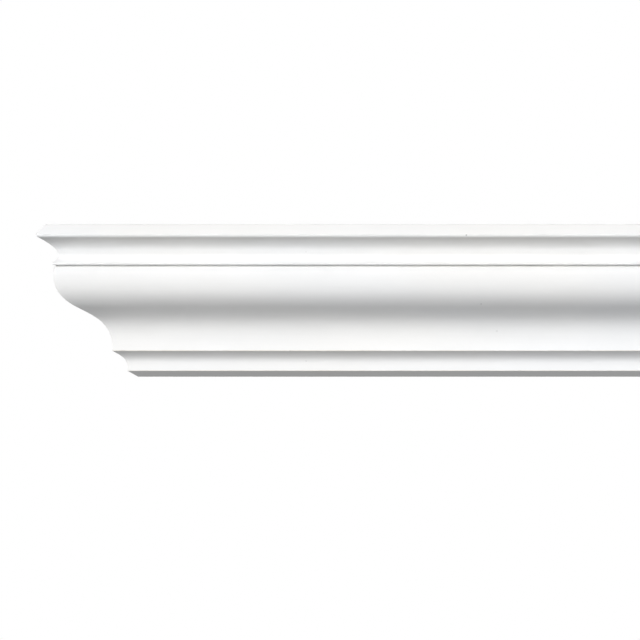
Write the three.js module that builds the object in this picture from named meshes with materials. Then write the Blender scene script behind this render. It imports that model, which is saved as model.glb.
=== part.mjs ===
// A plain-run cornice moulding, one length, for the angle between a wall and a ceiling.
// Its left end is mitred for an outside corner and its right end is cut square.
// Units are millimetres. +Z is up, the wall is the plane Y = 0 behind the moulding,
// its face looks towards -Y and its length runs along X.
// The origin is the middle of the flat that lies against the wall.

import * as THREE from 'three';

// Driving dimensions of the whole length
const overallHeight = 150;
const overallProjection = 102;
const overallLength = 1000;
const mitreAngle = 45;

// Lip along the ceiling: its face swells forward and down to a rounded nose
const lipHeight = 10;
const lipSetback = 9.4;
const lipTopSlope = 12.5;
const lipTopFullness = 1;
const lipNoseFullness = 0.3;
const noseRadius = 2.9;
const soffitSlope = 27.5;

// Scotia: the deep hollow between the lip and the fillet
const scotiaHeight = 28.55;
const filletSetback = 15.5;
const scotiaTopFullness = 25.9;
const scotiaFootFullness = 11.3;
const scotiaFootSlope = 31;

// Fillet: the fine round edge under the scotia, and the narrow groove that sets it off, the quirk
const filletRadius = 1.45;
const quirkHeight = 1.7;
const quirkDepth = 4.2;
const quirkBackFullness = 0.5;

// Ogee: the main member, which takes the height and the projection that the others leave
const shoulderSetback = 2.4;
const shoulderSlope = 8;
const ogeeTopLean = 14.2;
const ogeeTopFullness = 0.197;
const ogeeTurnWidth = 0.389;
const ogeeTurnHeight = 0.49;
const ogeeTurnSlope = 27.2;
const ogeeFullnessAboveTurn = 0.278;
const ogeeFullnessBelowTurn = 0.26;
const ogeeFootFullness = 0.316;
const edgeBandHeight = 1.8;

// Small cove under the ogee
const coveHeight = 19.72;
const coveWidth = 14.8;
const coveTopSlope = 27.6;
const coveTopFullness = 16;
const coveFootSlope = 89;
const coveFootFullness = 10.3;

// Foot: a slope back to the wall, with a narrow flat underside
const footHeight = 5.85;
const footWidth = 10.4;
const footThickness = 2.4;

// Back: flats against the wall and the ceiling, joined by a straight slope
const wallFlatHeight = 45;
const ceilingFlatWidth = 22;

// Fineness of the rounds
const stepsPerCurve = 16;

// A direction in the section, leaning by an angle below the level, outwards or inwards
function lean(degrees, outwards) {
  const angle = THREE.MathUtils.degToRad(degrees);
  return new THREE.Vector2(outwards * Math.cos(angle), -Math.sin(angle));
}

// A curve that leaves one point along one direction and reaches another along a second one
function sweepTo(outline, start, leaving, leavingReach, end, arriving, arrivingReach) {
  const first = start.clone().addScaledVector(leaving, leavingReach);
  const second = end.clone().addScaledVector(arriving, -arrivingReach);
  outline.bezierCurveTo(first.x, first.y, second.x, second.y, end.x, end.y);
}

// The section, with x as the distance out from the wall and y as the height from the ceiling
function makeSection() {
  const outwards = 1;
  const inwards = -1;
  const down = new THREE.Vector2(0, -1);
  const outline = new THREE.Shape();

  // Lip, from the front edge of the ceiling flat to the top of the nose
  const ceilingEdge = new THREE.Vector2(overallProjection - lipSetback, 0);
  const noseTop = new THREE.Vector2(overallProjection, -lipHeight);
  outline.moveTo(ceilingEdge.x, ceilingEdge.y);
  const lipTop = lean(lipTopSlope, outwards);
  sweepTo(outline, ceilingEdge, lipTop, lipTopFullness, noseTop, down, lipNoseFullness);

  // Nose, round to the slope of the soffit
  const noseEndAngle = THREE.MathUtils.degToRad(soffitSlope - 90);
  const noseCentre = new THREE.Vector2(overallProjection - noseRadius, -lipHeight);
  outline.absarc(noseCentre.x, noseCentre.y, noseRadius, 0, noseEndAngle, true);
  const noseEnd = new THREE.Vector2(
    noseCentre.x + noseRadius * Math.cos(noseEndAngle),
    noseCentre.y + noseRadius * Math.sin(noseEndAngle),
  );

  // Scotia, back under the lip and out again on top of the fillet
  const filletTip = overallProjection - filletSetback;
  const filletCentre = new THREE.Vector2(filletTip - filletRadius, -lipHeight - scotiaHeight);
  const filletTopAngle = THREE.MathUtils.degToRad(90 - scotiaFootSlope);
  const filletTop = new THREE.Vector2(
    filletCentre.x + filletRadius * Math.cos(filletTopAngle),
    filletCentre.y + filletRadius * Math.sin(filletTopAngle),
  );
  const soffit = lean(soffitSlope, inwards);
  const scotiaFoot = lean(scotiaFootSlope, outwards);
  sweepTo(outline, noseEnd, soffit, scotiaTopFullness, filletTop, scotiaFoot, scotiaFootFullness);

  // Fillet, round from the slope of the scotia's foot to its underside
  outline.absarc(filletCentre.x, filletCentre.y, filletRadius, filletTopAngle, -Math.PI / 2, true);
  const filletFoot = new THREE.Vector2(filletCentre.x, filletCentre.y - filletRadius);

  // Quirk, in under the fillet and round its back, and out again along the shoulder of the ogee
  const level = lean(0, inwards);
  const quirkBack = new THREE.Vector2(filletTip - quirkDepth, filletFoot.y - quirkHeight / 2);
  const quirkTopReach = filletFoot.x - quirkBack.x - quirkBackFullness;
  sweepTo(outline, filletFoot, level, quirkTopReach, quirkBack, down, quirkBackFullness);
  const shoulder = lean(shoulderSlope, outwards);
  const shoulderWidth = quirkDepth - shoulderSetback;
  const shoulderDrop = shoulderWidth * Math.tan(THREE.MathUtils.degToRad(shoulderSlope));
  const ogeeTop = new THREE.Vector2(
    quirkBack.x + shoulderWidth,
    quirkBack.y - quirkHeight / 2 - shoulderDrop,
  );
  const shoulderReach = shoulderWidth - quirkBackFullness;
  sweepTo(outline, quirkBack, down, quirkBackFullness, ogeeTop, shoulder, shoulderReach);

  // Ogee, round above and hollow below, with its turn between them
  const ogeeFoot = new THREE.Vector2(
    footThickness + footWidth + coveWidth,
    edgeBandHeight + coveHeight + footHeight - overallHeight,
  );
  const ogeeWidth = ogeeTop.x - ogeeFoot.x;
  const ogeeHeight = ogeeTop.y - ogeeFoot.y;
  const turn = new THREE.Vector2(
    ogeeTop.x - ogeeTurnWidth * ogeeWidth,
    ogeeTop.y - ogeeTurnHeight * ogeeHeight,
  );
  const swell = lean(90 - ogeeTopLean, outwards);
  const turning = lean(ogeeTurnSlope, inwards);
  const reach = (share) => share * ogeeHeight;
  sweepTo(outline, ogeeTop, swell, reach(ogeeTopFullness), turn, turning, reach(ogeeFullnessAboveTurn));
  sweepTo(outline, turn, turning, reach(ogeeFullnessBelowTurn), ogeeFoot, down, reach(ogeeFootFullness));

  // Edge band and small cove
  const coveTop = new THREE.Vector2(ogeeFoot.x, ogeeFoot.y - edgeBandHeight);
  const coveFoot = new THREE.Vector2(coveTop.x - coveWidth, coveTop.y - coveHeight);
  outline.lineTo(coveTop.x, coveTop.y);
  const intoCove = lean(coveTopSlope, inwards);
  const outOfCove = lean(coveFootSlope, inwards);
  sweepTo(outline, coveTop, intoCove, coveTopFullness, coveFoot, outOfCove, coveFootFullness);

  // Foot, wall flat, sloping back and ceiling flat
  outline.lineTo(footThickness, -overallHeight);
  outline.lineTo(0, -overallHeight);
  outline.lineTo(0, wallFlatHeight - overallHeight);
  outline.lineTo(ceilingEdge.x - ceilingFlatWidth, 0);
  outline.lineTo(ceilingEdge.x, ceilingEdge.y);
  return outline;
}

// The length: the section drawn out along X, mitred on the left and square on the right
function makeLength() {
  const geometry = new THREE.ExtrudeGeometry(makeSection(), {
    depth: 1,
    steps: 1,
    curveSegments: stepsPerCurve,
    bevelEnabled: false,
  });

  const mitreShift = Math.tan(THREE.MathUtils.degToRad(mitreAngle));
  const wallLength = overallLength - overallProjection * mitreShift;
  const ceilingHeight = overallHeight - wallFlatHeight / 2;
  const points = geometry.attributes.position;
  for (let index = 0; index < points.count; index += 1) {
    const out = points.getX(index);
    const height = points.getY(index);
    const isMitred = points.getZ(index) > 0.5;
    const squareEnd = wallLength / 2;
    const mitredEnd = -wallLength / 2 - out * mitreShift;
    points.setXYZ(index, isMitred ? mitredEnd : squareEnd, -out, ceilingHeight + height);
  }
  geometry.computeVertexNormals();
  return geometry;
}

const primedWhite = new THREE.MeshStandardMaterial({ color: 0xf4f4f3, roughness: 0.62, metalness: 0 });

const cornice = new THREE.Group();
const moulding = new THREE.Mesh(makeLength(), primedWhite);
moulding.name = 'cornice_moulding';
cornice.add(moulding);

export default cornice;
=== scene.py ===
"""Dresses a plain-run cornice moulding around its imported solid.

The moulding is one moulded length for the angle between a wall and a ceiling. Its section has a lip,
a scotia, a fillet, an ogee, a small cove and a foot. The left end is mitred for an outside corner and
the right end is cut square. Units are metres, +Z is up and the wall is the plane Y = 0.
"""

import logging
import math
from dataclasses import dataclass
from enum import IntEnum

import bpy
import numpy as np
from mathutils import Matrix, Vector
from mathutils.geometry import delaunay_2d_cdt


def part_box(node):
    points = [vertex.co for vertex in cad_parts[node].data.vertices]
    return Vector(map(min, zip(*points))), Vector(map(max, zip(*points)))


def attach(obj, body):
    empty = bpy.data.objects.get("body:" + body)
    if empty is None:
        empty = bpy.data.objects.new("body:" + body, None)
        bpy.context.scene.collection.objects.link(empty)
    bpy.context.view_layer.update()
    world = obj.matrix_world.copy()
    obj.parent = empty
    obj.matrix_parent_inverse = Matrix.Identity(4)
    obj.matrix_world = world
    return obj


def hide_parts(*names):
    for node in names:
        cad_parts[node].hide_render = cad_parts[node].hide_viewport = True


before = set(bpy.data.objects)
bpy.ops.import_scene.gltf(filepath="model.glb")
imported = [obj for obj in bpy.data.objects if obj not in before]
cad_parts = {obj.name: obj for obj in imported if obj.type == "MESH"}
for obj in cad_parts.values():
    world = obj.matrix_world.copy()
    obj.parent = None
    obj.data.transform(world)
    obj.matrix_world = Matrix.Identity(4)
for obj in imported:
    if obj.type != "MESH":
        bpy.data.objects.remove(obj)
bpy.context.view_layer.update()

NODE = "cornice_moulding"
BODY = "root"
PICTURE_MIDDLE = (-0.2, -0.05, 0.05)

log = logging.getLogger("cornice")


class Zone(IntEnum):
    """Which finish a face of the moulding takes."""

    FACE = 0
    BACK = 1
    END = 2


class Value:
    """One output socket of a node tree. Python's operators on it add Math nodes to that tree."""

    def __init__(self, tree: "Tree", socket: bpy.types.NodeSocket) -> None:
        """Keeps the tree and the socket."""
        self.tree = tree
        self.socket = socket

    def math(self, operation: str, *others: "Value | float") -> "Value":
        """Adds one Math node.

        Args:
            operation: the node's operation.
            others: what goes into its second and third sockets.

        Returns:
            The node's result.
        """
        return self.tree.math(operation, self, *others)

    def __add__(self, other: "Value | float") -> "Value":
        """Sum."""
        return self.math("ADD", other)

    __radd__ = __add__

    def __sub__(self, other: "Value | float") -> "Value":
        """Difference."""
        return self.math("SUBTRACT", other)

    def __rsub__(self, other: float) -> "Value":
        """Difference from a number."""
        return self.tree.math("SUBTRACT", other, self)

    def __mul__(self, other: "Value | float") -> "Value":
        """Product."""
        return self.math("MULTIPLY", other)

    __rmul__ = __mul__

    def __truediv__(self, other: "Value | float") -> "Value":
        """Quotient."""
        return self.math("DIVIDE", other)

    def __rtruediv__(self, other: float) -> "Value":
        """Quotient of a number and the value."""
        return self.tree.math("DIVIDE", other, self)

    def __neg__(self) -> "Value":
        """The negative."""
        return self.math("MULTIPLY", -1.0)


class Step:
    """A node that was added to a tree, whose outputs are read by name."""

    def __init__(self, tree: "Tree", node: bpy.types.Node) -> None:
        """Keeps the tree and the node."""
        self.tree = tree
        self.node = node

    def __getitem__(self, name: str) -> Value:
        """The output with that name or identifier."""
        return Value(self.tree, find_socket(self.node.outputs, name))


def find_socket(sockets: bpy.types.bpy_prop_collection, name: str) -> bpy.types.NodeSocket:
    """Finds a node's socket.

    Args:
        sockets: the node's inputs or outputs.
        name: the socket's identifier, or its name where only one in use has it.

    Returns:
        The socket.
    """
    exact = [s for s in sockets if s.identifier == name]
    return (exact or [s for s in sockets if s.name == name and s.enabled])[0]


class Tree:
    """A node tree that is built by one method for any node and one for maths."""

    def __init__(self, nodes: bpy.types.NodeTree) -> None:
        """Keeps the node tree and empties it."""
        self.nodes = nodes
        self.nodes.nodes.clear()

    def node(self, kind: str, settings: dict[str, object] | None = None,
             sockets: dict[str, object] | None = None) -> Step:
        """Adds any node.

        Args:
            kind: the node's type.
            settings: its properties, which are set first.
            sockets: values or links for its inputs, by socket name or identifier.

        Returns:
            The node, with its outputs by name.
        """
        made = self.nodes.nodes.new(kind)
        for key, setting in (settings or {}).items():
            setattr(made, key, setting)
        for key, given in (sockets or {}).items():
            target = find_socket(made.inputs, key)
            for one in given if isinstance(given, list) else [given]:
                if isinstance(one, Value):
                    self.nodes.links.new(one.socket, target)
                else:
                    target.default_value = one
        return Step(self, made)

    def math(self, operation: str, *values: Value | float) -> Value:
        """Adds a Math node on values or numbers and gives its result."""
        made = self.nodes.nodes.new("ShaderNodeMath")
        made.operation = operation
        for target, one in zip(made.inputs, values):
            if isinstance(one, Value):
                self.nodes.links.new(one.socket, target)
            else:
                target.default_value = one
        return Value(self, made.outputs[0])

    def combine(self, x: Value | float, y: Value | float, z: Value | float = 0.0) -> Value:
        """A vector of three values."""
        return self.node("ShaderNodeCombineXYZ", None, {"X": x, "Y": y, "Z": z})["Vector"]

    def split(self, vector: Value) -> tuple[Value, Value, Value]:
        """A vector's three values."""
        step = self.node("ShaderNodeSeparateXYZ", None, {"Vector": vector})
        return step["X"], step["Y"], step["Z"]

    def ramp(self, value: Value, low: float, high: float, out_low: float = 0.0,
             out_high: float = 1.0) -> Value:
        """Turns one range of a value smoothly into another.

        Args:
            value: what is turned.
            low: where the ramp starts.
            high: where it ends.
            out_low: the result at and before its start.
            out_high: the result at and after its end.

        Returns:
            The result, held within the new range.
        """
        return self.node(
            "ShaderNodeMapRange",
            {"interpolation_type": "SMOOTHSTEP", "clamp": True},
            {"Value": value, "From Min": low, "From Max": high, "To Min": out_low, "To Max": out_high},
        )["Result"]

    def noise(self, vector: Value, scale: float, detail: float = 2.0, roughness: float = 0.5) -> Value:
        """Soft noise around 0.5."""
        sockets = {"Vector": vector, "Scale": scale, "Detail": detail, "Roughness": roughness}
        return self.node("ShaderNodeTexNoise", {"noise_dimensions": "3D"}, sockets)["Fac"]


def lean(degrees: float, outwards: float) -> Vector:
    """A direction in the section.

    Args:
        degrees: how far it leans below the level.
        outwards: 1 away from the wall, -1 towards it.

    Returns:
        The direction, with x out from the wall and y up.
    """
    angle = math.radians(degrees)
    return Vector((outwards * math.cos(angle), -math.sin(angle)))


@dataclass
class Member:
    """One stretch of the section's outline.

    Attributes:
        points: where it runs, with x out from the wall and y up from the ceiling.
        zone: the finish it takes.
        arris: the radius that softens the corner where it starts, or 0 where it starts smoothly.
        thin: how much shade is painted into the colour where it starts, from 0 for none.
        painted_shade_reach: how far along it that painted shade fades out.
    """

    points: list[Vector]
    zone: Zone
    arris: float = 0.0
    thin: float = 0.0
    painted_shade_reach: float = math.inf

    def painted_shade_along(self) -> list[float]:
        """How much shade is painted into the colour at each of its points."""
        gone = 0.0
        result = []
        for index, point in enumerate(self.points):
            if index:
                gone += (point - self.points[index - 1]).length
            result.append(self.thin * max(0.0, 1 - gone / self.painted_shade_reach))
        return result


@dataclass(frozen=True)
class Section:
    """The moulding's section: its sizes, and the outline that they make.

    Attributes:
        height: from the ceiling to the foot.
        projection: from the wall to the nose of the lip.
        spacing: about how far apart the outline's points are.
        back_spacing: the same on the plain back.
        least_gap: outline points that are closer than this are one.
        least_steps: how many steps a curve has at least.
        curve_to_chord: about how much longer a curve is than its chord.
        arris: the softness of the sharp edges on the face.
        back_arris: the softness of the edges on the back.
    """

    height: float
    projection: float
    spacing: float = 0.0011
    back_spacing: float = 0.0045
    least_gap: float = 0.000006
    least_steps: int = 10
    curve_to_chord: float = 1.15
    arris: float = 0.0006
    back_arris: float = 0.0012

    # Lip along the ceiling, with its rounded nose
    lip_height: float = 0.01
    lip_setback: float = 0.0094
    lip_top_slope: float = 12.5
    lip_top_fullness: float = 0.001
    lip_nose_fullness: float = 0.0003
    nose_radius: float = 0.0029
    soffit_slope: float = 27.5

    # Scotia between the lip and the fillet
    scotia_height: float = 0.02855
    fillet_setback: float = 0.0155
    scotia_top_fullness: float = 0.0259
    scotia_foot_fullness: float = 0.0113
    scotia_foot_slope: float = 31.0

    # Fillet, the groove under it and the shoulder of the ogee
    fillet_radius: float = 0.00145
    quirk_height: float = 0.0017
    quirk_depth: float = 0.0042
    quirk_back_fullness: float = 0.0005
    shoulder_setback: float = 0.0024
    shoulder_slope: float = 8.0

    # Ogee, whose fullnesses and turn are shares of its own height and width, and its edge band
    ogee_top_lean: float = 14.2
    ogee_top_fullness: float = 0.197
    ogee_turn_width: float = 0.389
    ogee_turn_height: float = 0.49
    ogee_turn_slope: float = 27.2
    ogee_above_turn: float = 0.278
    ogee_below_turn: float = 0.26
    ogee_foot_fullness: float = 0.316
    edge_band_height: float = 0.0018

    # Small cove
    cove_height: float = 0.01972
    cove_width: float = 0.0148
    cove_top_slope: float = 27.6
    cove_top_fullness: float = 0.016
    cove_foot_slope: float = 89.0
    cove_foot_fullness: float = 0.0103

    # Foot
    foot_height: float = 0.00585
    foot_width: float = 0.0104
    foot_thickness: float = 0.0024

    # Back
    wall_flat: float = 0.045
    ceiling_flat: float = 0.022

    def sweep(self, start: Vector, leaving: Vector, reach: float, end: Vector, arriving: Vector,
              end_reach: float) -> list[Vector]:
        """A curve that leaves one point along one direction and reaches another along a second.

        Args:
            start: the first point.
            leaving: the direction there.
            reach: how far the curve keeps to it.
            end: the last point.
            arriving: the direction there.
            end_reach: how far the curve keeps to it.

        Returns:
            The curve's points.
        """
        first = start + leaving * reach
        second = end - arriving * end_reach
        length = (end - start).length * self.curve_to_chord
        steps = max(self.least_steps, round(length / self.spacing))
        points = []
        for index in range(steps + 1):
            t = index / steps
            s = 1 - t
            points.append(start * s**3 + first * 3 * s * s * t + second * 3 * s * t * t + end * t**3)
        return points

    def arc(self, centre: Vector, radius: float, start: float, end: float) -> list[Vector]:
        """A round's points, from one angle in degrees to another."""
        length = radius * math.radians(abs(end - start))
        steps = max(self.least_steps, round(length / self.spacing * 2))
        angles = [math.radians(start + (end - start) * index / steps) for index in range(steps + 1)]
        return [centre + Vector((math.cos(angle), math.sin(angle))) * radius for angle in angles]

    def straight(self, start: Vector, end: Vector, spacing: float) -> list[Vector]:
        """A straight stretch's points."""
        steps = max(2, round((end - start).length / spacing))
        return [start.lerp(end, index / steps) for index in range(steps + 1)]

    def members(self) -> list[Member]:
        """The outline's stretches in order, from the front edge of the ceiling flat round to it again."""
        down = Vector((0, -1))
        ceiling_edge = Vector((self.projection - self.lip_setback, 0))
        nose_top = Vector((self.projection, -self.lip_height))
        lip = self.sweep(ceiling_edge, lean(self.lip_top_slope, 1), self.lip_top_fullness,
                         nose_top, down, self.lip_nose_fullness)
        nose_centre = nose_top - Vector((self.nose_radius, 0))
        nose = self.arc(nose_centre, self.nose_radius, 0, self.soffit_slope - 90)

        tip = self.projection - self.fillet_setback
        fillet_centre = Vector((tip - self.fillet_radius, -self.lip_height - self.scotia_height))
        fillet = self.arc(fillet_centre, self.fillet_radius, 90 - self.scotia_foot_slope, -90)
        scotia = self.sweep(nose[-1], lean(self.soffit_slope, -1), self.scotia_top_fullness,
                            fillet[0], lean(self.scotia_foot_slope, 1), self.scotia_foot_fullness)
        quirk_back = Vector((tip - self.quirk_depth, fillet[-1].y - self.quirk_height / 2))
        top_reach = fillet[-1].x - quirk_back.x - self.quirk_back_fullness
        quirk = self.sweep(fillet[-1], lean(0, -1), top_reach, quirk_back, down, self.quirk_back_fullness)
        shoulder_width = self.quirk_depth - self.shoulder_setback
        shoulder_drop = shoulder_width * math.tan(math.radians(self.shoulder_slope))
        ogee_top = quirk_back + Vector((shoulder_width, -self.quirk_height / 2 - shoulder_drop))
        shoulder = self.sweep(quirk_back, down, self.quirk_back_fullness, ogee_top,
                              lean(self.shoulder_slope, 1), shoulder_width - self.quirk_back_fullness)

        foot_top = Vector((self.foot_thickness + self.foot_width, self.foot_height - self.height))
        cove_top = foot_top + Vector((self.cove_width, self.cove_height))
        ogee_foot = cove_top + Vector((0, self.edge_band_height))
        span = ogee_top - ogee_foot
        turn = ogee_top - Vector((self.ogee_turn_width * span.x, self.ogee_turn_height * span.y))
        turning = lean(self.ogee_turn_slope, -1)
        round_part = self.sweep(ogee_top, lean(90 - self.ogee_top_lean, 1), self.ogee_top_fullness * span.y,
                                turn, turning, self.ogee_above_turn * span.y)
        hollow_part = self.sweep(turn, turning, self.ogee_below_turn * span.y,
                                 ogee_foot, down, self.ogee_foot_fullness * span.y)
        cove = self.sweep(cove_top, lean(self.cove_top_slope, -1), self.cove_top_fullness,
                          foot_top, lean(self.cove_foot_slope, -1), self.cove_foot_fullness)

        foot_edge = Vector((self.foot_thickness, -self.height))
        wall_foot = Vector((0, -self.height))
        wall_top = Vector((0, self.wall_flat - self.height))
        ceiling_back = ceiling_edge - Vector((self.ceiling_flat, 0))
        # Members given a painted shade have shade painted into their colour where the light falls off: under
        # the lip, in the groove, at the ogee's top, under the cove's top and on the foot.
        return [
            Member(lip, Zone.FACE, self.arris),
            Member(nose, Zone.FACE),
            Member(scotia, Zone.FACE, thin=1.25, painted_shade_reach=0.02),
            Member(fillet, Zone.FACE),
            Member(quirk, Zone.FACE),
            Member(shoulder, Zone.FACE, thin=1.0, painted_shade_reach=0.006),
            Member(round_part, Zone.FACE, self.arris, thin=0.4, painted_shade_reach=0.0022),
            Member(hollow_part, Zone.FACE),
            Member(self.straight(ogee_foot, cove_top, self.spacing / 4), Zone.FACE),
            Member(cove, Zone.FACE, self.arris, thin=0.85, painted_shade_reach=0.018),
            Member(self.straight(foot_top, foot_edge, self.spacing), Zone.FACE, self.arris, thin=1.2),
            Member(self.straight(foot_edge, wall_foot, self.spacing / 4), Zone.FACE, self.arris),
            Member(self.straight(wall_foot, wall_top, self.back_spacing), Zone.BACK, self.arris),
            Member(self.straight(wall_top, ceiling_back, self.back_spacing), Zone.BACK, self.back_arris),
            Member(self.straight(ceiling_back, ceiling_edge, self.back_spacing), Zone.BACK, self.back_arris),
        ]

    @staticmethod
    def soften(before: list[Vector], after: list[Vector], radius: float, steps: int = 5) -> list[Vector]:
        """Rounds the corner between two stretches and takes what the round replaces off both.

        Args:
            before: the stretch that ends at the corner. Its end is cut back.
            after: the stretch that starts there. Its start is cut back.
            radius: the round's radius.
            steps: how many sides the round has.

        Returns:
            The round's inner points, for between the two stretches.
        """
        corner = after[0].copy()
        incoming = (before[-1] - before[-2]).normalized()
        outgoing = (after[1] - after[0]).normalized()
        turn = incoming.angle_signed(outgoing)
        cut = radius * abs(math.tan(turn / 2))
        near = cut * 1.2
        while len(before) > 1 and (before[-1] - corner).length < near:
            before.pop()
        while len(after) > 1 and (after[0] - corner).length < near:
            after.pop(0)
        start = corner - incoming * cut
        end = corner + outgoing * cut
        before.append(start)
        after.insert(0, end)
        weight = math.cos(turn / 2)
        inner = []
        for index in range(1, steps):
            t = index / steps
            total = (1 - t) ** 2 + 2 * weight * t * (1 - t) + t * t
            point = start * (1 - t) ** 2 + corner * (2 * weight * t * (1 - t)) + end * t * t
            inner.append(point / total)
        return inner

    def outline(self) -> tuple[list[Vector], list[Zone], list[float]]:
        """The closed outline, counted once round.

        Returns:
            Its points, the zone of the side that starts at each point, and how much shade is painted into
            the colour there.
        """
        members = self.members()
        rounds = []
        for index, member in enumerate(members):
            before = members[index - 1]
            rounds.append(self.soften(before.points, member.points, member.arris) if member.arris else [])
        points, zones, thin = [], [], []
        for index, member in enumerate(members):
            painted_shade_along = [member.thin / 2] * len(rounds[index]) + member.painted_shade_along()
            for point, shade_here in zip(rounds[index] + member.points, painted_shade_along):
                if not points or (point - points[-1]).length > self.least_gap:
                    points.append(point)
                    zones.append(member.zone)
                    thin.append(shade_here)
        if (points[0] - points[-1]).length < self.least_gap:
            points.pop()
            zones.pop()
            thin.pop()
        return points, zones, thin

    def face_ends(self, girth: np.ndarray, zones: np.ndarray) -> np.ndarray:
        """How far each outline point is round the section from the nearest end of the moulded face.

        Args:
            girth: the distance of each point round the outline from the first.
            zones: the zone of the side that starts at each point.

        Returns:
            The distances, which are 0 on the face.
        """
        whole = girth[-1]
        back = np.flatnonzero(zones == Zone.BACK)
        start = girth[back[0]]
        distance = np.minimum(girth[:-1] - start, whole - girth[:-1])
        return np.where(zones == Zone.BACK, np.maximum(distance, 0), 0)


@dataclass
class FlatSection:
    """The section as a triangulated sheet, which carries what the finishes need to know.

    Attributes:
        section: the moulding's section.
        grain: how far apart the points inside the sheet are.
        edge_width: how far from an arris its worn edge reaches.
        worn_within: the arrises wear up to this share of the projection out from the wall.
    """

    section: Section
    grain: float = 0.0017
    edge_width: float = 0.0014
    worn_within: float = 0.6

    def build(self) -> tuple[bpy.types.Mesh, int]:
        """Makes the sheet, with x out from the wall and y up from the ceiling.

        Returns:
            The mesh, whose first vertices are the outline in order, and how many those are.
        """
        points, zones, thin = self.section.outline()
        outline = np.array([tuple(point) for point in points])
        inner = self.inner_points(outline)
        every = [Vector(point) for point in np.concatenate([outline, inner])]
        ring = list(range(len(outline)))
        verts, _, faces, *_ = delaunay_2d_cdt(every, [], [ring], 1, 1e-7)
        mesh = bpy.data.meshes.new("flat_section")
        mesh.from_pydata([(v.x, v.y, 0) for v in verts], [], faces)
        places = np.array([(v.x, v.y) for v in verts])
        if len(verts) != len(every) or not np.allclose(places[:len(outline)], outline, atol=1e-7):
            raise ValueError("the sheet's first points have to be the outline's")
        self.describe(mesh, places, outline, np.array(zones), np.array(thin))
        return mesh, len(outline)

    def inner_points(self, outline: np.ndarray) -> np.ndarray:
        """Points on a triangular grid inside the outline and clear of it."""
        low, high = outline.min(0), outline.max(0)
        rows = np.arange(low[1], high[1], self.grain * 0.866)
        grid = []
        for index, row in enumerate(rows):
            start = low[0] + (index % 2) * self.grain / 2
            grid += [(x, row) for x in np.arange(start, high[0], self.grain)]
        grid = np.array(grid)
        after = np.roll(outline, -1, axis=0)
        inside = np.zeros(len(grid), bool)
        for (x0, y0), (x1, y1) in zip(outline, after):
            if y0 == y1:
                continue
            spans = (grid[:, 1] >= min(y0, y1)) & (grid[:, 1] < max(y0, y1))
            inside ^= spans & (grid[:, 0] < x0 + (grid[:, 1] - y0) * (x1 - x0) / (y1 - y0))
        grid = grid[inside]
        return grid[self.distance_to(outline, grid) > self.grain * 0.35]

    @staticmethod
    def distance_to(outline: np.ndarray, places: np.ndarray) -> np.ndarray:
        """How far each place is from the closed outline."""
        after = np.roll(outline, -1, axis=0)
        nearest = np.full(len(places), np.inf)
        for start, end in zip(outline, after):
            side = end - start
            share = np.clip((places - start) @ side / (side @ side), 0, 1)
            gap = places - start - share[:, None] * side
            nearest = np.minimum(nearest, np.hypot(gap[:, 0], gap[:, 1]))
        return nearest

    def describe(self, mesh: bpy.types.Mesh, places: np.ndarray, outline: np.ndarray,
                 zones: np.ndarray, thin: np.ndarray) -> None:
        """Stores on the sheet's points what the finishes need.

        Args:
            mesh: the sheet.
            places: where its points are.
            outline: the outline's points, which come first in it.
            zones: the zone of the side that starts at each outline point.
            thin: how much shade is painted into the colour at each outline point.
        """
        closed = np.concatenate([outline, outline[:1]])
        sides = np.hypot(*np.diff(closed, axis=0).T)
        girth = np.concatenate([[0.0], np.cumsum(sides)])
        reach = self.section.projection * self.worn_within
        corners = [m.points[0] for m in self.section.members() if m.arris and m.zone == Zone.FACE]
        corners = [corner for corner in corners if corner.x < reach]
        gaps = [np.hypot(*(outline - np.array(corner)).T) for corner in corners]
        edge = np.clip(1 - np.min(gaps, axis=0) / self.edge_width, 0, 1)
        rest = len(places) - len(outline)
        self.store(mesh, "zone", np.concatenate([zones, np.full(rest, int(Zone.END))]))
        self.store(mesh, "edge", np.concatenate([edge, np.zeros(rest)]))
        self.store(mesh, "thin", np.concatenate([thin, np.zeros(rest)]))
        from_face = self.section.face_ends(girth, zones)
        self.store(mesh, "from_face", np.concatenate([from_face, np.zeros(rest)]))
        self.store(mesh, "skin", self.distance_to(outline, places))

    @staticmethod
    def store(mesh: bpy.types.Mesh, name: str, values: np.ndarray) -> None:
        """Stores one number for each point under a name."""
        layer = mesh.attributes.new(name, "FLOAT", "POINT")
        layer.data.foreach_set("value", values.astype(np.float32))


class GeometryTree(Tree):
    """A Geometry Nodes tree with named inputs, which turns a piece's mesh into a finished one."""

    def __init__(self, name: str) -> None:
        """Makes an empty tree with a geometry in and a geometry out."""
        super().__init__(bpy.data.node_groups.new(name, "GeometryNodeTree"))
        self.nodes.interface.new_socket("Geometry", in_out="INPUT", socket_type="NodeSocketGeometry")
        self.nodes.interface.new_socket("Geometry", in_out="OUTPUT", socket_type="NodeSocketGeometry")
        self.inlet = self.node("NodeGroupInput")
        self.given: dict[str, object] = {}

    def size(self, name: str, kind: str, value: object) -> Value:
        """Adds a named input.

        Args:
            name: its name.
            kind: Float, Int or Material.
            value: what the modifier gives it.

        Returns:
            The input's value in the tree.
        """
        socket = self.nodes.interface.new_socket(name, in_out="INPUT", socket_type=f"NodeSocket{kind}")
        self.given[socket.identifier] = value
        return self.inlet[socket.identifier]

    def attribute(self, name: str) -> Value:
        """A number that the mesh carries."""
        settings = {"data_type": "FLOAT"}
        return self.node("GeometryNodeInputNamedAttribute", settings, {"Name": name})["Attribute"]

    def apply(self, piece: bpy.types.Object) -> None:
        """Runs the tree on a piece and keeps the result as the piece's plain mesh."""
        modifier = piece.modifiers.new(self.nodes.name, "NODES")
        modifier.node_group = self.nodes
        for identifier, value in self.given.items():
            modifier[identifier] = value
        bpy.context.view_layer.update()
        evaluated = piece.evaluated_get(bpy.context.evaluated_depsgraph_get())
        finished = bpy.data.meshes.new_from_object(evaluated)
        piece.modifiers.remove(modifier)
        piece.data = finished


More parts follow.
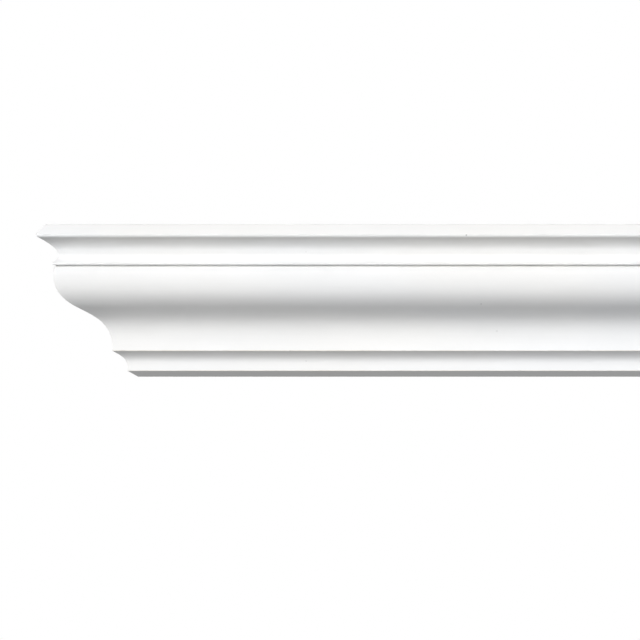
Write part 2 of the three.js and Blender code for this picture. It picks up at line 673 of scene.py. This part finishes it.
class ShaderTree(Tree):
    """A material's node tree, with the steps that every finish of the moulding shares."""

    def __init__(self, name: str) -> None:
        """Makes a material with an empty tree."""
        self.material = bpy.data.materials.new(name)
        self.material.use_nodes = True
        super().__init__(self.material.node_tree)
        self.place = self.node("ShaderNodeTexCoord")["Object"]

    def stretched(self, x: float, y: float, z: float) -> Value:
        """The place on the piece, stretched by three factors."""
        sockets = {"Vector": self.place, "Vector_001": (x, y, z)}
        return self.node("ShaderNodeVectorMath", {"operation": "MULTIPLY"}, sockets)["Vector"]

    def attribute(self, name: str) -> Value:
        """A number that the piece's mesh carries."""
        return self.node("ShaderNodeAttribute", {"attribute_name": name})["Fac"]

    def cells(self, scale: float, output: str = "Distance") -> Value:
        """The distance to the middle of the nearest of many random cells, or that cell's colour."""
        sockets = {"Vector": self.place, "Scale": scale, "Randomness": 1.0}
        return self.node("ShaderNodeTexVoronoi", {"voronoi_dimensions": "3D"}, sockets)[output]

    def dots(self, scale: float, size: tuple[float, float], chosen: tuple[float, float]) -> Value:
        """Dots in the middles of some of many random cells.

        Args:
            scale: how many cells there are along a metre.
            size: how far from its middle a dot is full, and where it ends, in cells.
            chosen: from which random number on a cell has a faint dot, and from which a full one.

        Returns:
            1 in a dot and 0 elsewhere.
        """
        dot = self.ramp(self.cells(scale), *size, 1.0, 0.0)
        number = self.split(self.cells(scale, "Color"))[0]
        return dot * self.ramp(number, *chosen)

    def mix(self, base: Value | tuple, over: Value | tuple, share: Value | float, how: str = "MIX") -> Value:
        """Lays one colour over another.

        Args:
            base: the colour below.
            over: the colour on top.
            share: how much of it shows.
            how: the way that they mix.

        Returns:
            The mixed colour.
        """
        def rgba(colour: Value | tuple) -> Value | tuple:
            """Adds the alpha that a colour socket needs."""
            return colour if isinstance(colour, Value) else (*colour, 1.0)

        sockets = {"Factor_Float": share, "A_Color": rgba(base), "B_Color": rgba(over)}
        settings = {"data_type": "RGBA", "blend_type": how, "clamp_factor": True}
        return self.node("ShaderNodeMix", settings, sockets)["Result_Color"]

    def dimmed(self, colour: Value, share: Value) -> Value:
        """A colour with only that share of its brightness."""
        return self.mix(colour, self.combine(share, share, share), 1.0, "MULTIPLY")

    def scaled(self, shade: tuple[float, float, float], strength: Value) -> Value:
        """A shade for multiplying with, from white where its strength is 0, and on past it above 1."""
        red, green, blue = (1 - strength * (1 - part) for part in shade)
        return self.combine(red, green, blue)

    def spot(self, x: float, z: float, radius: float, softness: float) -> Value:
        """A round spot on the face.

        Args:
            x: its middle along the length.
            z: its middle up the face.
            radius: how wide it is at full strength.
            softness: how far it fades beyond that.

        Returns:
            1 in the spot and 0 away from it.
        """
        across, _, up = self.split(self.place)
        reach = self.math("SQRT", (across - x) * (across - x) + (up - z) * (up - z))
        return self.ramp(reach, radius, radius + softness, 1.0, 0.0)

    def finish(self, colour: Value, roughness: Value, height: Value, depth: float,
               others: dict[str, Value | float]) -> bpy.types.Material:
        """Ends the tree in its shader.

        Args:
            colour: the base colour.
            roughness: the roughness.
            height: the height of the small relief, in units of its depth.
            depth: the depth of that relief in metres.
            others: what goes into the shader's other sockets, by name.

        Returns:
            The material.
        """
        relief = {"Strength": 1.0, "Distance": depth, "Height": height}
        normal = self.node("ShaderNodeBump", None, relief)["Normal"]
        sockets = {"Base Color": colour, "Roughness": roughness, "Normal": normal, **others}
        shader = self.node("ShaderNodeBsdfPrincipled", None, sockets)
        self.node("ShaderNodeOutputMaterial", None, {"Surface": shader["BSDF"]})
        return self.material


@dataclass(frozen=True)
class Mark:
    """A small mark on the face.

    Attributes:
        x: its middle along the length.
        z: its middle up the face.
        radius: its size.
        softness: how far it fades beyond that.
        depth: how dark it is, from 0 to 1.
    """

    x: float
    z: float
    radius: float
    softness: float
    depth: float


# The few small marks that the face has
MARKS = (
    Mark(-0.1285, 0.1167, 0.0005, 0.0006, 0.35),
    Mark(-0.1138, 0.0491, 0.0003, 0.0006, 0.30),
    Mark(-0.3017, 0.0029, 0.0003, 0.0005, 0.20),
    Mark(-0.2859, 0.1003, 0.0003, 0.0005, 0.15),
    Mark(-0.2859, -0.0070, 0.0003, 0.0005, 0.20),
    Mark(-0.0980, 0.0225, 0.0005, 0.0012, 0.10),
    Mark(-0.4210, 0.0430, 0.0060, 0.0120, 0.010),
    Mark(-0.3950, 0.0360, 0.0040, 0.0100, 0.012),
)


@dataclass(frozen=True)
class PrimedFace:
    """Matt white primer on the moulded face: smooth, with the faint run of the coating along it.

    Attributes:
        white: the primer's colour.
        warm: what it drifts towards where the coat is thin.
        cool: what it drifts towards where the coat is thick.
        foam: the foam that shows through on the sharpest edges.
        roughness: how matt it is.
        gloss: the strength of its gloss.
        relief: the depth of its fine relief.
        painted_shade_tint: the faintly warm colour of the shade painted under the lip, in the groove, under
            the cove's top and on the foot.
    """

    white: tuple[float, float, float] = (0.820, 0.820, 0.816)
    warm: tuple[float, float, float] = (0.828, 0.819, 0.802)
    cool: tuple[float, float, float] = (0.806, 0.813, 0.825)
    foam: tuple[float, float, float] = (0.86, 0.80, 0.68)
    roughness: float = 0.62
    gloss: float = 0.35
    relief: float = 0.00006
    painted_shade_tint: tuple[float, float, float] = (0.845, 0.840, 0.826)

    def material(self) -> bpy.types.Material:
        """Makes the material."""
        tree = ShaderTree("primed_face")
        # Slow drift of the tint, clouds of spray, runs along the length, orange peel and stipple
        drift = tree.noise(tree.stretched(3.0, 9.0, 9.0), 1.0, 2.0)
        cloud = tree.noise(tree.stretched(14.0, 40.0, 40.0), 1.0, 3.0, 0.55)
        run = tree.noise(tree.stretched(5.0, 760.0, 760.0), 1.0, 2.0, 0.6)
        peel = tree.noise(tree.place, 330.0, 2.0, 0.5)
        stipple = tree.noise(tree.place, 1500.0, 1.0, 0.5)
        # Worn arrises and sparse pinholes
        worn = tree.ramp(tree.attribute("edge"), 0.25, 1.0) * tree.ramp(cloud, 0.35, 0.65, 0.25, 0.6)
        pits = tree.dots(75.0, (0.012, 0.030), (0.86, 0.90))

        colour = tree.mix(self.warm, self.cool, tree.ramp(drift, 0.35, 0.65))
        colour = tree.mix(self.white, colour, 0.55)
        colour = tree.mix(colour, self.foam, worn)
        shade = 1 - tree.ramp(cloud, 0.3, 0.7, 0.0, 0.024) - tree.ramp(run, 0.3, 0.8, 0.0, 0.010)
        # Painted shade down in the pinholes, on top of their dents in the relief.
        shade = shade - pits * 0.12
        for mark in MARKS:
            shade = shade - tree.spot(mark.x, mark.z, mark.radius, mark.softness) * mark.depth
        colour = tree.dimmed(colour, shade)
        # Painted shade: darkens the colour under the lip, in the groove, under the cove's top and on the
        # foot.
        colour = tree.mix(colour, tree.scaled(self.painted_shade_tint, tree.attribute("thin")), 1.0, "MULTIPLY")

        roughness = self.roughness + (cloud - 0.5) * 0.14 + (stipple - 0.5) * 0.10 - worn * 0.12
        height = peel * 0.55 + stipple * 0.22 + run * 0.30 - pits * 2.2
        return tree.finish(colour, roughness, height, self.relief, {"Specular IOR Level": self.gloss})


@dataclass(frozen=True)
class RawBack:
    """The hidden back: foam with a thin, uneven coat and spray that wraps round from the face.

    Attributes:
        coat: the thin coat's colour.
        foam: the bare foam's colour.
        spray: the colour of the primer round its edges.
        roughness: how matt it is.
        relief: the depth of its relief.
    """

    coat: tuple[float, float, float] = (0.795, 0.790, 0.770)
    foam: tuple[float, float, float] = (0.800, 0.765, 0.680)
    spray: tuple[float, float, float] = (0.820, 0.820, 0.814)
    roughness: float = 0.78
    relief: float = 0.00022

    def material(self) -> bpy.types.Material:
        """Makes the material."""
        tree = ShaderTree("raw_back")
        # Patches of the coat, the foam's flow marks, grit, open bubbles and the spray round the edges
        cloud = tree.noise(tree.stretched(16.0, 34.0, 34.0), 1.0, 4.0, 0.6)
        flow = tree.noise(tree.stretched(45.0, 260.0, 260.0), 1.0, 3.0, 0.6)
        grit = tree.noise(tree.place, 900.0, 2.0, 0.6)
        holes = tree.dots(210.0, (0.14, 0.26), (0.62, 0.70))
        reach = tree.attribute("from_face") + (cloud - 0.5) * 0.010
        spray = tree.ramp(reach, 0.003, 0.012, 1.0, 0.0)

        colour = tree.mix(self.foam, self.coat, tree.ramp(cloud, 0.38, 0.60))
        colour = tree.mix(colour, self.spray, spray)
        shade = 1 - tree.ramp(flow, 0.3, 0.7, 0.0, 0.06) - tree.ramp(grit, 0.4, 0.7, 0.0, 0.03)
        # Painted shade down in the open bubbles, on top of their dents in the relief.
        shade = shade - holes * 0.22
        colour = tree.dimmed(colour, shade)
        roughness = self.roughness + (grit - 0.5) * 0.16 - spray * 0.08
        height = flow * 0.8 + grit * 0.35 - holes * 1.4 - spray * grit * 0.1
        return tree.finish(colour, roughness, height, self.relief, {"Specular IOR Level": 0.25})


@dataclass(frozen=True)
class SawnFoam:
    """A sawn end: fine cream cells and the saw's marks, inside a dense skin with the primer's edge.

    Attributes:
        foam: the foam's colour.
        pore_shade: the painted shade down in a cell.
        skin: the dense skin's colour.
        primer: the colour of the coat seen edge on.
        skin_width: how thick the dense skin is.
        coat_width: how thick the coat looks.
        roughness: how matt it is.
        relief: the depth of its relief.
    """

    foam: tuple[float, float, float] = (0.83, 0.77, 0.63)
    pore_shade: tuple[float, float, float] = (0.62, 0.54, 0.40)
    skin: tuple[float, float, float] = (0.85, 0.81, 0.70)
    primer: tuple[float, float, float] = (0.82, 0.82, 0.81)
    skin_width: float = 0.0016
    coat_width: float = 0.0003
    roughness: float = 0.85
    relief: float = 0.00025

    def material(self) -> bpy.types.Material:
        """Makes the material."""
        tree = ShaderTree("sawn_foam")
        # Slow variation, fine cells, open cells, the saw's marks, and the dense skin with the coat's edge
        cloud = tree.noise(tree.place, 60.0, 3.0, 0.6)
        fine = tree.cells(1500.0)
        open_cells = tree.dots(520.0, (0.22, 0.42), (0.55, 0.70))
        tooth = tree.noise(tree.stretched(60.0, 60.0, 1150.0), 1.0, 2.0, 0.5)
        depth = tree.attribute("skin") + (cloud - 0.5) * 0.0010
        dense = tree.ramp(depth, self.skin_width * 0.5, self.skin_width, 1.0, 0.0)
        coat = tree.ramp(tree.attribute("skin"), self.coat_width, self.coat_width * 2, 1.0, 0.0)
        core = 1 - dense

        # Painted shade down in the fine cells and the open cells.
        colour = tree.mix(self.foam, self.pore_shade, core * tree.ramp(fine, 0.15, 0.75, 0.38, 0.0))
        colour = tree.mix(colour, self.pore_shade, core * open_cells * 0.65)
        colour = tree.mix(colour, self.skin, dense * 0.85)
        colour = tree.mix(colour, self.primer, coat)
        shade = 1 - tree.ramp(cloud, 0.3, 0.7, 0.0, 0.05) - tree.ramp(tooth, 0.4, 0.7, 0.0, 0.07)
        colour = tree.dimmed(colour, shade)
        roughness = self.roughness - dense * 0.12 + (tooth - 0.5) * 0.1
        height = core * (fine * 0.6 - open_cells * 1.3) + tooth * 0.5
        return tree.finish(colour, roughness, height, self.relief, {"Specular IOR Level": 0.2})


@dataclass
class MouldedLength:
    """The moulded length: its section drawn out along the wall, mitred at one end.

    Attributes:
        section: its section.
        length: its length at the nose.
        ceiling: how high the ceiling is.
        mitre: the mitre's angle at the left end, in degrees.
        steps: how many steps its length is made in.
        ripple: how deep the face's slow waves are.
        ripple_length: how long they are.
        calm: how far from each end they start.
        wall_calm: how far from the wall they start.
        edge_calm: how far round an edge of the face they end.
        seed: what their pattern starts from.
        sharp: from which angle between faces an edge stays sharp, in degrees.
        weld: points that are closer than this are joined where the ends meet the run.
        face: the finish of the moulded face.
        back: the finish of the back.
        end: the finish of the two sawn ends.
    """

    section: Section
    length: float
    ceiling: float
    mitre: float = 45.0
    steps: int = 150
    ripple: float = 0.00006
    ripple_length: float = 0.16
    calm: float = 0.03
    wall_calm: float = 0.008
    edge_calm: float = 0.0005
    seed: int = 11
    sharp: float = 32.0
    weld: float = 0.000002
    face: PrimedFace = PrimedFace()
    back: RawBack = RawBack()
    end: SawnFoam = SawnFoam()

    def build(self) -> bpy.types.Object:
        """Makes the piece.

        Returns:
            The piece with its plain mesh, in the frame's place.
        """
        sheet, count = FlatSection(self.section).build()
        piece = bpy.data.objects.new("moulded_length", sheet)
        bpy.context.scene.collection.objects.link(piece)
        self.tree(count).apply(piece)
        return piece

    def dress(self, piece: bpy.types.Object) -> None:
        """Lets the piece ride on the frame and stand for its solid."""
        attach(piece, BODY)
        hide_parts(NODE)

    def tree(self, count: int) -> GeometryTree:
        """Makes the tree that draws the section out.

        Args:
            count: how many points the section's outline has.

        Returns:
            The tree, which runs on the flat section.
        """
        tree = GeometryTree("moulding_run")
        slope = math.tan(math.radians(self.mitre))
        outline = tree.size("Outline Points", "Int", count)
        steps = tree.size("Lengthways Steps", "Int", self.steps)
        length = tree.size("Wall Length", "Float", self.length - self.section.projection * slope)
        mitre = tree.size("Mitre Slope", "Float", slope)
        ceiling = tree.size("Ceiling Height", "Float", self.ceiling)
        sheet = tree.inlet["Geometry"]

        grid = tree.node("GeometryNodeMeshGrid", None, {
            "Size X": 1.0, "Size Y": 1.0, "Vertices X": steps + 1, "Vertices Y": outline + 1,
        })["Mesh"]
        index = tree.node("GeometryNodeInputIndex")["Index"]
        row = tree.math("FLOOR", (index + 0.5) / (outline + 1))
        along = row / steps
        point = tree.math("MODULO", index - row * (outline + 1) + 0.25, outline)
        side = tree.math("MODULO", index + 0.25, outline)
        run = self.store(tree, grid, "zone", self.sample(tree, sheet, "zone", side), "FACE")
        # The share of painted shade is carried onto the run with the other values.
        for name in ("edge", "thin", "from_face"):
            run = self.store(tree, run, name, self.sample(tree, sheet, name, point))
        run = self.store(tree, run, "skin", 0.0)
        run = self.store(tree, run, "waves", self.calm_ends(tree, along))
        place = tree.node("GeometryNodeInputPosition")["Position"]
        here = self.sample(tree, sheet, place, point, "FLOAT_VECTOR")
        run = self.placed(tree, run, here, along, length, mitre, ceiling)

        left = self.end_face(tree, sheet, 1.0, length, mitre, ceiling)
        right = self.end_face(tree, sheet, 0.0, length, mitre, ceiling)
        right = tree.node("GeometryNodeFlipFaces", None, {"Mesh": right})["Mesh"]
        joined = tree.node("GeometryNodeJoinGeometry", None, {"Geometry": [run, left, right]})["Geometry"]
        sockets = {"Geometry": joined, "Distance": tree.size("Weld Distance", "Float", self.weld)}
        closed = tree.node("GeometryNodeMergeByDistance", None, sockets)["Geometry"]
        self.outlet(tree, self.shaded(tree, self.waved(tree, closed)))
        return tree

    def calm_ends(self, tree: GeometryTree, along: Value) -> Value:
        """How strong the waves are: full in the length and none at its ends."""
        share = self.calm / self.length
        return tree.ramp(along, 0.0, share) * tree.ramp(along, 1 - share, 1.0, 1.0, 0.0)

    @staticmethod
    def sample(tree: GeometryTree, sheet: Value, what: Value | str, index: Value,
               kind: str = "FLOAT") -> Value:
        """Reads the flat section at one of its points.

        Args:
            tree: the tree.
            sheet: the flat section.
            what: a value, or the name of what its points carry.
            index: which point.
            kind: the value's type.

        Returns:
            The value there.
        """
        if isinstance(what, str):
            what = tree.attribute(what)
        settings = {"data_type": kind, "domain": "POINT"}
        sockets = {"Geometry": sheet, "Value": what, "Index": tree.math("FLOOR", index)}
        return tree.node("GeometryNodeSampleIndex", settings, sockets)["Value"]

    @staticmethod
    def store(tree: GeometryTree, mesh: Value, name: str, value: Value | float,
              domain: str = "POINT") -> Value:
        """Stores a value on the mesh's points or faces under a name."""
        settings = {"data_type": "FLOAT", "domain": domain}
        sockets = {"Geometry": mesh, "Name": name, "Value": value}
        return tree.node("GeometryNodeStoreNamedAttribute", settings, sockets)["Geometry"]

    @staticmethod
    def placed(tree: GeometryTree, mesh: Value, here: Value, along: Value | float, length: Value,
               mitre: Value, ceiling: Value) -> Value:
        """Moves points of the section to their place on the wall.

        Args:
            tree: the tree.
            mesh: what is moved.
            here: each point's place in the section, with x out from the wall and y up from the ceiling.
            along: 0 at the square end and 1 at the mitred end.
            length: the length at the wall.
            mitre: how much longer the length gets for each metre out from the wall.
            ceiling: how high the ceiling is.

        Returns:
            The mesh in its place.
        """
        out, height, _ = tree.split(here)
        across = length * 0.5 - (length + out * mitre) * along
        place = tree.combine(across, -out, ceiling + height)
        return tree.node("GeometryNodeSetPosition", None, {"Geometry": mesh, "Position": place})["Geometry"]

    def end_face(self, tree: GeometryTree, sheet: Value, along: float, length: Value, mitre: Value,
                 ceiling: Value) -> Value:
        """The flat section as a sawn end of the length."""
        here = tree.node("GeometryNodeInputPosition")["Position"]
        placed = self.placed(tree, sheet, here, along, length, mitre, ceiling)
        cleared = tree.node("GeometryNodeRemoveAttribute", None, {"Geometry": placed, "Name": "zone"})
        flat = self.store(tree, cleared["Geometry"], "zone", float(Zone.END), "FACE")
        return self.store(tree, flat, "waves", 0.0)

    def waved(self, tree: GeometryTree, mesh: Value) -> Value:
        """Lets the moulded face sink in by slow, very shallow waves."""
        depth = tree.size("Ripple Depth", "Float", self.ripple)
        wave = tree.size("Ripple Length", "Float", self.ripple_length)
        seed = tree.size("Seed", "Int", self.seed)
        place = tree.node("GeometryNodeInputPosition")["Position"]
        normal = tree.node("GeometryNodeInputNormal")["Normal"]
        front = tree.ramp(tree.split(place)[1], -self.wall_calm, 0.0, 1.0, 0.0)
        front = front * tree.ramp(tree.attribute("from_face"), 0.0, self.edge_calm, 1.0, 0.0)
        sockets = {"Vector": place, "W": seed, "Scale": 1 / wave, "Detail": 2.0}
        noise = tree.node("ShaderNodeTexNoise", {"noise_dimensions": "4D"}, sockets)["Fac"]
        sink = -(noise * depth * tree.attribute("waves") * front)
        scaling = {"Vector": normal, "Scale": sink}
        offset = tree.node("ShaderNodeVectorMath", {"operation": "SCALE"}, scaling)["Vector"]
        return tree.node("GeometryNodeSetPosition", None, {"Geometry": mesh, "Offset": offset})["Geometry"]

    def shaded(self, tree: GeometryTree, mesh: Value) -> Value:
        """Shades the length smooth and keeps the edges of its sawn ends sharp."""
        sharp = tree.size("Sharp Angle", "Float", math.radians(self.sharp))
        angle = tree.node("GeometryNodeInputMeshEdgeAngle")["Unsigned Angle"]
        kind = "GeometryNodeSetShadeSmooth"
        smooth = tree.node(kind, {"domain": "FACE"}, {"Geometry": mesh, "Shade Smooth": True})["Geometry"]
        corners = tree.math("GREATER_THAN", angle, sharp)
        sockets = {"Geometry": smooth, "Selection": corners, "Shade Smooth": False}
        return tree.node(kind, {"domain": "EDGE"}, sockets)["Geometry"]

    def outlet(self, tree: GeometryTree, mesh: Value) -> None:
        """Ends the tree with the finishes of the face, the back and the sawn ends."""
        mesh = tree.node("GeometryNodeRealizeInstances", None, {"Geometry": mesh})["Geometry"]
        zone = tree.attribute("zone")
        finishes = {Zone.FACE: self.face, Zone.BACK: self.back, Zone.END: self.end}
        for which, finish in finishes.items():
            material = tree.size(f"{which.name.title()} Finish", "Material", finish.material())
            chosen = tree.math("COMPARE", zone, float(which), 0.1)
            sockets = {"Geometry": mesh, "Selection": chosen, "Material": material}
            mesh = tree.node("GeometryNodeSetMaterial", None, sockets)["Geometry"]
        tree.node("NodeGroupOutput", None, {"Geometry": mesh})


@dataclass(frozen=True)
class SoftLight:
    """A large soft light of the studio.

    Attributes:
        name: its name.
        place: where it stands.
        target: what it points at.
        width: how wide it is.
        height: how high it is.
        power: how strong it is.
        colour: its tint.
    """

    name: str
    place: tuple[float, float, float]
    target: tuple[float, float, float]
    width: float
    height: float
    power: float
    colour: tuple[float, float, float] = (1.0, 1.0, 1.0)

    def build(self) -> bpy.types.Object:
        """Makes the light."""
        data = bpy.data.lights.new(self.name, "AREA")
        data.shape = "RECTANGLE"
        data.size = self.width
        data.size_y = self.height
        data.energy = self.power
        data.color = self.colour
        light = bpy.data.objects.new(self.name, data)
        light.location = self.place
        aim = Vector(self.target) - Vector(self.place)
        light.rotation_euler = aim.to_track_quat("-Z", "Y").to_euler()
        light.visible_camera = False
        bpy.context.scene.collection.objects.link(light)
        return light


@dataclass
class Studio:
    """The plain pale studio: a floor, white surroundings and large soft lights.

    The floor throws no light up and lets the low fill through, so that the hollows stay as deep as they are.
    Far away it brightens into the surroundings.

    Attributes:
        floor_level: how high the floor is.
        floor_reach: how far it goes from the middle.
        floor_colours: the two shades that it wanders between.
        floor_glow: how bright it is of itself, near the piece.
        floor_fade: between which distances it brightens into the surroundings.
        surround: how bright the surroundings look.
        lights: the soft lights.
    """

    floor_level: float = -0.46
    floor_reach: float = 9.0
    floor_colours: tuple[tuple[float, float, float], ...] = ((0.18, 0.18, 0.18), (0.165, 0.165, 0.165))
    floor_glow: float = 0.61
    floor_fade: tuple[float, float] = (1.5, 7.0)
    surround: float = 1.0
    lights: tuple[SoftLight, ...] = (
        SoftLight("key_front", (-0.2, -3.76, 1.54), PICTURE_MIDDLE, 3.0, 1.1, 182.0),
        SoftLight("fill_top", (-0.2, -0.91, 3.96), PICTURE_MIDDLE, 3.0, 1.1, 36.0),
        SoftLight("fill_low", (-0.2, -1.99, -3.45), PICTURE_MIDDLE, 3.0, 1.1, 66.0, (0.97, 0.985, 1.0)),
        SoftLight("fill_back", (0.6, 3.6, 1.6), (0.0, 0.0, 0.05), 2.6, 1.6, 62.0),
        SoftLight("side_right", (3.6, 1.1, 0.3), (0.45, -0.05, 0.05), 1.8, 1.8, 105.0),
        SoftLight("side_left", (-3.3, 2.6, 0.3), (-0.45, -0.05, 0.05), 1.8, 1.8, 80.0),
    )

    def build(self) -> None:
        """Makes the floor, the surroundings and the lights."""
        bpy.context.scene.view_settings.view_transform = "Standard"
        self.build_floor()
        self.build_world()
        for light in self.lights:
            light.build()
            log.info("light %s, %.0f W", light.name, light.power)

    def build_floor(self) -> None:
        """Makes the floor."""
        reach = self.floor_reach
        corners = [(-reach, -reach), (reach, -reach), (reach, reach), (-reach, reach)]
        mesh = bpy.data.meshes.new("studio_floor")
        mesh.from_pydata([(x, y, self.floor_level) for x, y in corners], [], [(0, 1, 2, 3)])
        tree = ShaderTree("studio_floor")
        across, away, _ = tree.split(tree.place)
        distance = tree.math("SQRT", across * across + away * away)
        glow = tree.ramp(distance, *self.floor_fade, self.floor_glow, self.surround)
        cloud = tree.noise(tree.place, 1.5, 2.0)
        colour = tree.mix(*self.floor_colours, cloud)
        others = {
            "Specular IOR Level": 0.2,
            "Emission Color": tree.combine(glow, glow, glow),
            "Emission Strength": 1.0,
        }
        mesh.materials.append(tree.finish(colour, 0.8 + cloud * 0.05, cloud, 0.0001, others))
        floor = bpy.data.objects.new("studio_floor", mesh)
        floor.visible_diffuse = False
        floor.visible_glossy = False
        floor.visible_shadow = False
        bpy.context.scene.collection.objects.link(floor)

    def build_world(self) -> None:
        """Makes the surroundings: white to look at, and no light on the piece."""
        world = bpy.data.worlds.new("studio")
        world.use_nodes = True
        tree = Tree(world.node_tree)
        seen = tree.node("ShaderNodeLightPath")["Is Camera Ray"]
        sockets = {"Color": (1.0, 1.0, 1.0, 1.0), "Strength": seen * self.surround}
        light = tree.node("ShaderNodeBackground", None, sockets)
        tree.node("ShaderNodeOutputWorld", None, {"Surface": light["Background"]})
        bpy.context.scene.world = world


@dataclass
class Viewpoint:
    """The camera, which looks straight at the moulded face from far away.

    Attributes:
        x: where the middle of the picture is along the length.
        z: where it is up the face.
        width: how much of the length the picture takes in.
        plane: how far out from the wall that width is measured.
        distance: how far from that plane the camera is.
        sensor: the sensor's width in millimetres.
    """

    x: float = -0.27215
    z: float = 0.03337
    width: float = 0.6295
    plane: float = 0.05
    distance: float = 26.0
    sensor: float = 36.0

    def build(self) -> None:
        """Makes the camera."""
        data = bpy.data.cameras.new("view")
        data.sensor_width = self.sensor
        data.lens = self.sensor * self.distance / self.width
        data.clip_start = 0.1
        data.clip_end = 120.0
        camera = bpy.data.objects.new("view", data)
        camera.location = (self.x, -self.plane - self.distance, self.z)
        camera.rotation_euler = (math.radians(90), 0, 0)
        bpy.context.scene.collection.objects.link(camera)
        bpy.context.scene.camera = camera


def main() -> None:
    """Builds the moulding and its studio."""
    logging.basicConfig(level=logging.INFO, format="%(message)s")
    low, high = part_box(NODE)
    section = Section(height=high.z - low.z, projection=high.y - low.y)
    moulding = MouldedLength(section, length=high.x - low.x, ceiling=high.z)
    piece = moulding.build()
    moulding.dress(piece)
    piece.data.calc_loop_triangles()
    log.info("%s: %d triangles", piece.name, len(piece.data.loop_triangles))
    Studio().build()
    Viewpoint().build()


if __name__ == "__main__":
    main()
